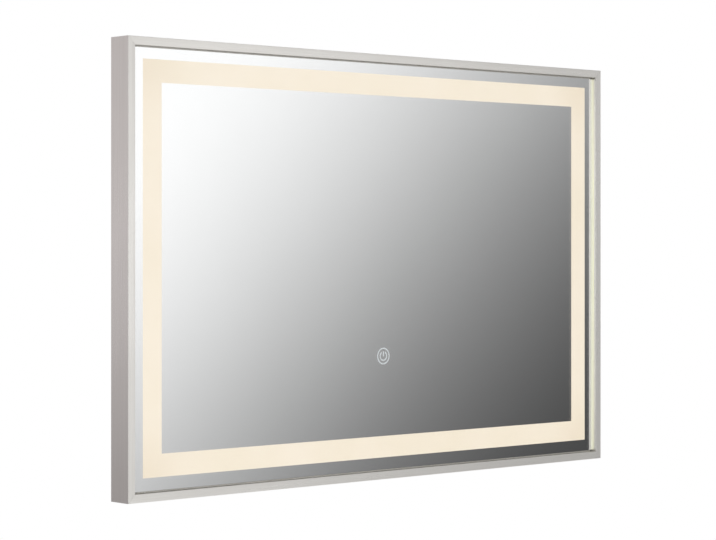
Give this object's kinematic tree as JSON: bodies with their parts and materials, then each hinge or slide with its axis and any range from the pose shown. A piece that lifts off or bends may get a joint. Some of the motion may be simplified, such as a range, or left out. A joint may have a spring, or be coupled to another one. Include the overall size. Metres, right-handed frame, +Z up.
{
  "type": "bathroom mirror",
  "caption": "Framed wall mirror with a backlit frosted border and a touch switch, lifting off a wall rail.",
  "frame": {"origin": "on the wall plane, at the centre of the wall rail's fixing slots", "axes": "+X across the width to the right as seen by a person facing the mirror, +Y from the room into the wall, +Z up"},
  "size_m": [0.914, 0.0385, 0.61],
  "materials": {
    "brushed_nickel": "brushed nickel",
    "zinc": "zinc plated",
    "plated_sheet": "galvanised sheet",
    "clear_glass": "clear float glass with ground edges",
    "silver": "silvered",
    "frosted_glass": "frosted and lit from behind",
    "mark_glass": "frosted",
    "foam": "closed-cell foam tape",
    "black_plastic": "moulded",
    "white_plastic": "moulded",
    "circuit_board": "solder mask",
    "light_board": "white solder mask with diodes",
    "opal": "opal acrylic",
    "extruded_aluminium": "mill",
    "rubber": "moulded",
    "white_pvc": "cable sheath",
    "black_pvc": "cable sheath",
    "earth_green": "green zinc"
  },
  "bodies": {
    "wall_bracket": {"wall_rail": "zinc"},
    "mirror": {"frame_top_rail": "brushed_nickel", "frame_bottom_rail": "brushed_nickel", "frame_left_rail": "brushed_nickel", "frame_right_rail": "brushed_nickel", "corner_key_top_left": "zinc", "corner_key_top_right": "zinc", "corner_key_bottom_left": "zinc", "corner_key_bottom_right": "zinc", "corner_key_screws": "zinc", "mirror_glass": "clear_glass", "silver_layer": "silver", "frosted_band": "frosted_glass", "switch_mark": "mark_glass", "glass_tape": "foam", "touch_sensor_case": "black_plastic", "touch_sensor_board": "circuit_board", "light_channel_top": "extruded_aluminium", "light_channel_bottom": "extruded_aluminium", "light_channel_left": "extruded_aluminium", "light_channel_right": "extruded_aluminium", "light_strip_top": "light_board", "light_strip_bottom": "light_board", "light_strip_left": "light_board", "light_strip_right": "light_board", "opal_cover_top": "opal", "opal_cover_bottom": "opal", "opal_cover_left": "opal", "opal_cover_right": "opal", "back_plate": "plated_sheet", "back_plate_screws": "zinc", "wall_bumpers": "rubber", "driver_case": "white_plastic", "driver_end_caps": "black_plastic", "driver_screws": "zinc", "junction_box": "plated_sheet", "junction_cover": "plated_sheet", "junction_cover_screws": "zinc", "cable_grommet": "rubber", "terminal_block": "white_plastic", "terminal_screws": "zinc", "earth_screw": "earth_green", "mains_lead": "black_pvc", "driver_lead": "white_pvc", "strip_lead": "white_pvc", "corner_leads": "white_pvc", "lead_clips": "white_plastic", "hanger_rail": "zinc", "hanger_rivets": "zinc"}
  },
  "joints": [
    {"name": "lift_off", "type": "slide", "parent": "wall_bracket", "child": "mirror", "axis": [0, 0, 1], "range_m": [0, 0.015]}
  ]
}
